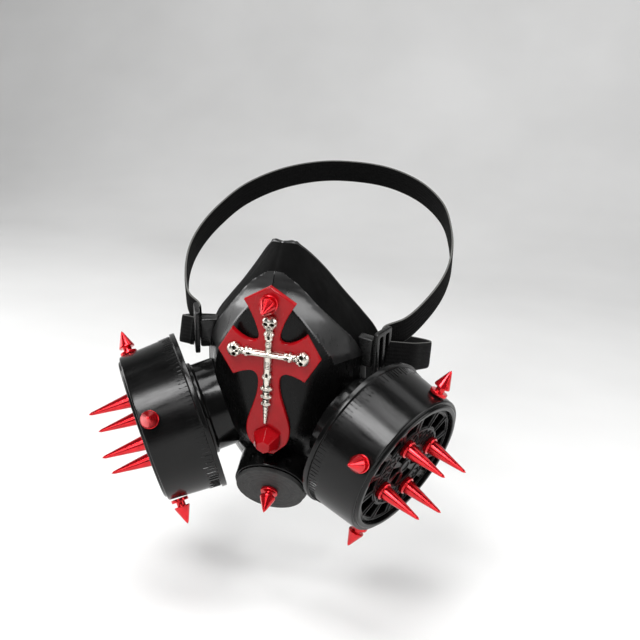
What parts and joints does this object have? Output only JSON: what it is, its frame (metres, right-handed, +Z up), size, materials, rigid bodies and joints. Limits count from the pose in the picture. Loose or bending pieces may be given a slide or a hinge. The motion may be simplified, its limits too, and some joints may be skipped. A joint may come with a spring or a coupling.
{
  "type": "steampunk costume mask",
  "caption": "Half-face costume mask with spiked canisters, a cross plate with a cast skull cross, an exhalation valve and head straps.",
  "frame": {"origin": "middle of the face opening, in the middle plane, where the mask seats on the wearer's face", "axes": "+X to the right as seen from the front, +Y from the front of the mask towards the back of the head, +Z up"},
  "size_m": [0.199, 0.2543, 0.1789],
  "materials": {
    "rubber": "glossy black moulded rubber with a matte band inside the rim",
    "canister_plastic": "semi-gloss black plastic with fine ribs round the back",
    "grille_plastic": "dark embossed plastic grille",
    "fitting_plastic": "glossy black plastic",
    "buckle_plastic": "glossy black plastic",
    "red_metal": "anodised candy red, polished",
    "red_acrylic": "deep red glossy plate with bevelled edges",
    "antique_silver": "antiqued cast silver with blackened recesses",
    "valve_grey": "flat dark grey plastic with faint rings",
    "webbing": "black woven elastic webbing"
  },
  "bodies": {
    "root": {"facepiece": "rubber", "canister_body_right": "canister_plastic", "canister_grille_right": "grille_plastic", "canister_collar_right": "fitting_plastic", "long_spike_right_1": "red_metal", "long_spike_right_2": "red_metal", "long_spike_right_3": "red_metal", "long_spike_right_4": "red_metal", "tree_spike_right_1": "red_metal", "tree_spike_right_2": "red_metal", "tree_spike_right_3": "red_metal", "tree_spike_right_4": "red_metal", "canister_body_left": "canister_plastic", "canister_grille_left": "grille_plastic", "canister_collar_left": "fitting_plastic", "long_spike_left_1": "red_metal", "long_spike_left_2": "red_metal", "long_spike_left_3": "red_metal", "long_spike_left_4": "red_metal", "tree_spike_left_1": "red_metal", "tree_spike_left_2": "red_metal", "tree_spike_left_3": "red_metal", "tree_spike_left_4": "red_metal", "valve_housing": "fitting_plastic", "valve_disc": "valve_grey", "valve_spike": "red_metal", "cross_plate": "red_acrylic", "skull_cross": "antique_silver", "cross_top_spike": "red_metal", "cross_foot_stud": "red_metal", "strap_lug_right": "fitting_plastic", "strap_lug_left": "fitting_plastic", "strap_buckle_right": "buckle_plastic", "strap_buckle_left": "buckle_plastic", "strap_upper": "webbing", "strap_lower": "webbing"}
  },
  "joints": []
}
